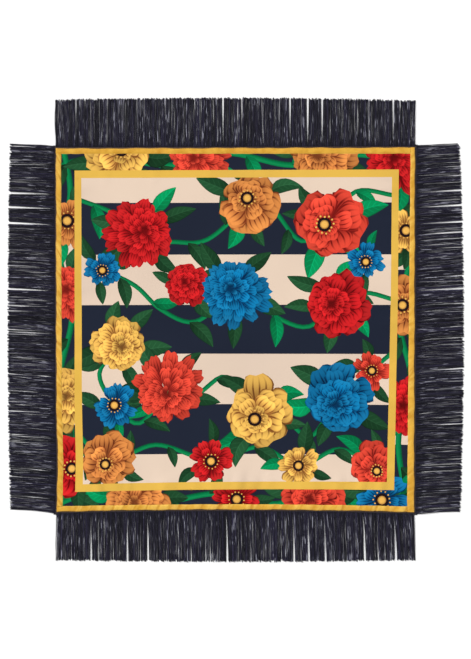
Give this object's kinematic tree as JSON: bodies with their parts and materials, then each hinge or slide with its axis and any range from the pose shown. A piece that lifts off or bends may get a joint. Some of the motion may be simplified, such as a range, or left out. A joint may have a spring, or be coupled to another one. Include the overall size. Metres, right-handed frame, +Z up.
{
  "type": "fringed scarf",
  "caption": "Square printed silk scarf laid flat, with a puckered yellow hem and long navy fringe on every side.",
  "frame": {"origin": "centre of the footprint, on the surface that the scarf lies on", "axes": "+Z up from the surface through the right side of the cloth, +Y towards the top edge of the print, +X towards its right edge"},
  "size_m": [1.144, 1.164, 0.0046],
  "materials": {
    "silk_print": "printed silk twill with a soft sheen",
    "hem_silk": "yellow printed silk twill, turned and puckered",
    "fringe_yarn": "navy chainette yarn with a bright sheen"
  },
  "bodies": {
    "root": {"silk_panel": "silk_print", "hem_top": "hem_silk", "hem_left": "hem_silk", "hem_bottom": "hem_silk", "hem_right": "hem_silk", "fringe_top": "fringe_yarn", "fringe_left": "fringe_yarn", "fringe_bottom": "fringe_yarn", "fringe_right": "fringe_yarn"}
  },
  "joints": []
}
